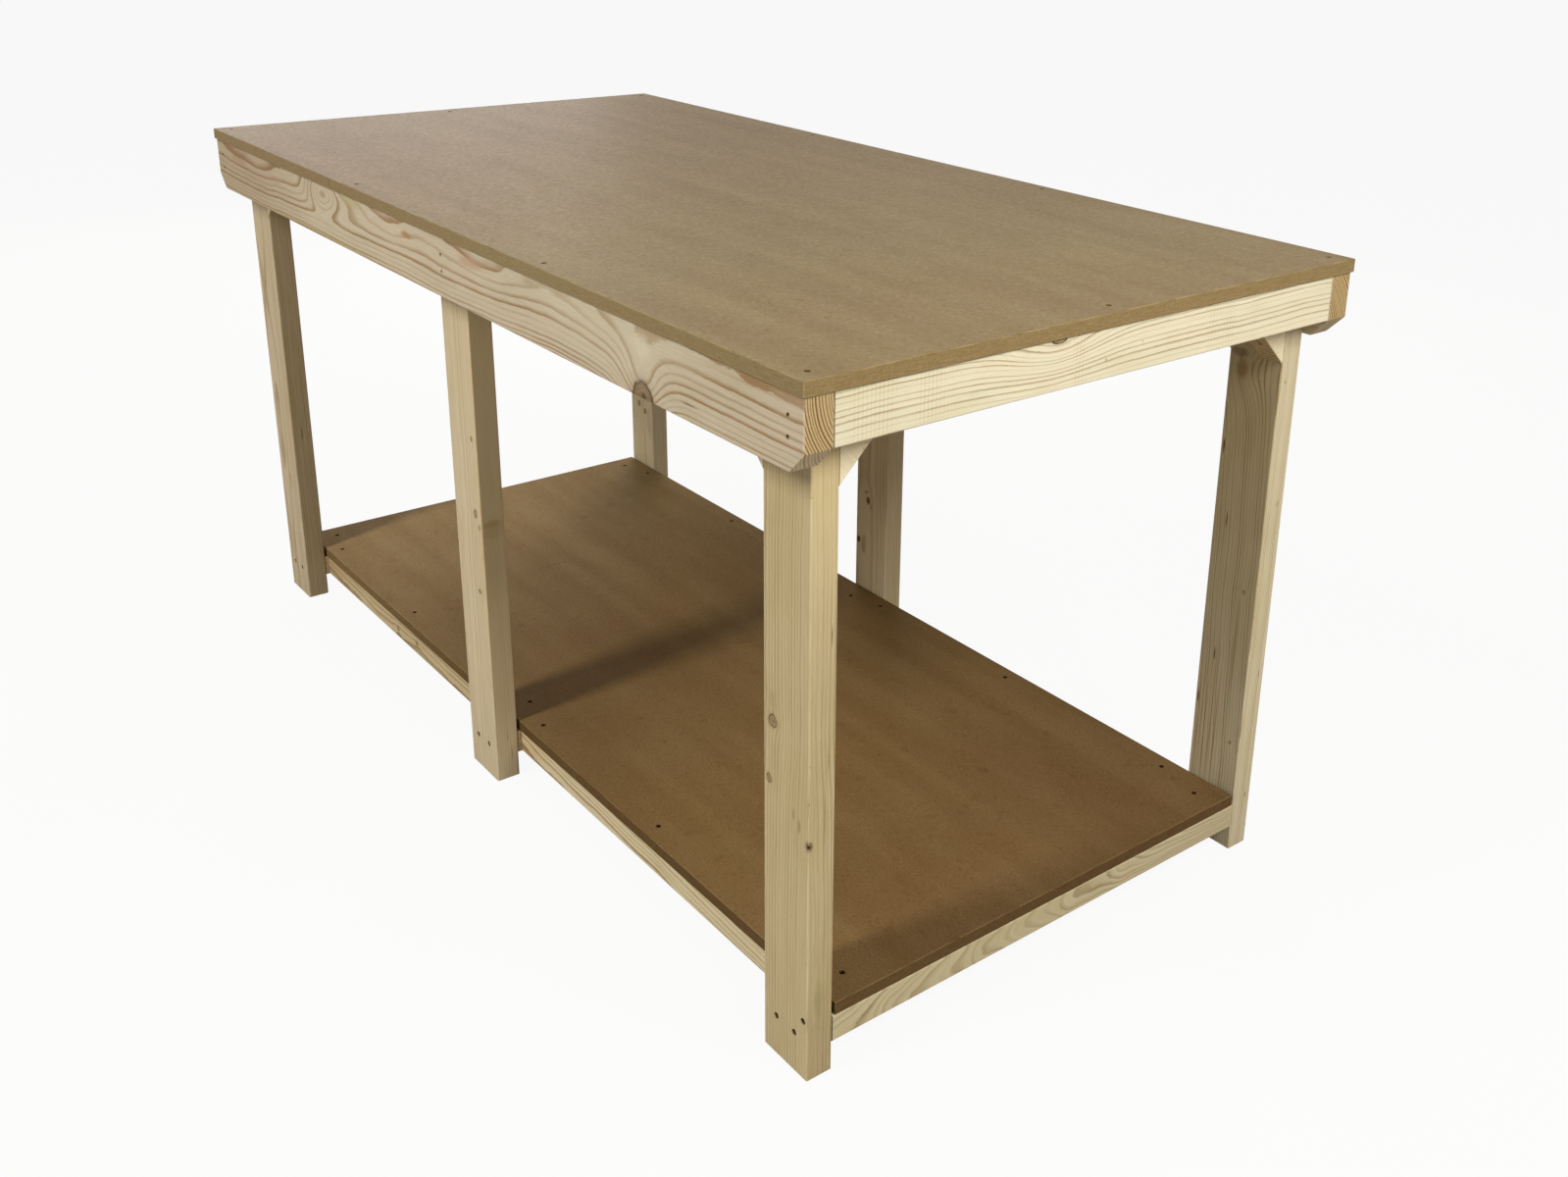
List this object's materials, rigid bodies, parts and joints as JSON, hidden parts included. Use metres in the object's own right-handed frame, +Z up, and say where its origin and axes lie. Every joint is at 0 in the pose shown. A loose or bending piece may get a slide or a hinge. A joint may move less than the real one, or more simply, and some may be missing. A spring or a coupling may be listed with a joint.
{
  "type": "assembly table",
  "caption": "Free-standing timber assembly table with a fibreboard worktop, a full-length low shelf, flat-sided legs and solid triangular corner braces.",
  "frame": {"origin": "on the floor, below the middle of the worktop", "axes": "+X along the length to the right-hand end, -Y to the front long side, +Z up"},
  "size_m": [1.83, 0.915, 0.915],
  "materials": {
    "mdf": "raw fibreboard",
    "pine": "planed softwood",
    "screw_steel": "dark plated"
  },
  "bodies": {
    "root": {"top_board": "mdf", "shelf_board": "mdf", "front_apron": "pine", "rear_apron": "pine", "left_top_rail": "pine", "middle_top_rail": "pine", "right_top_rail": "pine", "front_left_leg": "pine", "front_middle_leg": "pine", "front_right_leg": "pine", "rear_left_leg": "pine", "rear_middle_leg": "pine", "rear_right_leg": "pine", "left_shelf_rail": "pine", "middle_shelf_rail": "pine", "right_shelf_rail": "pine", "front_left_shelf_rail": "pine", "front_right_shelf_rail": "pine", "rear_left_shelf_rail": "pine", "rear_right_shelf_rail": "pine", "front_left_apron_brace": "pine", "front_left_end_brace": "pine", "front_right_apron_brace": "pine", "front_right_end_brace": "pine", "rear_left_apron_brace": "pine", "rear_left_end_brace": "pine", "rear_right_apron_brace": "pine", "rear_right_end_brace": "pine", "top_board_screws": "screw_steel", "shelf_board_screws": "screw_steel", "top_rail_screws": "screw_steel", "leg_screws": "screw_steel", "foot_screws": "screw_steel", "brace_leg_screws": "screw_steel", "brace_side_screws": "screw_steel"}
  },
  "joints": []
}
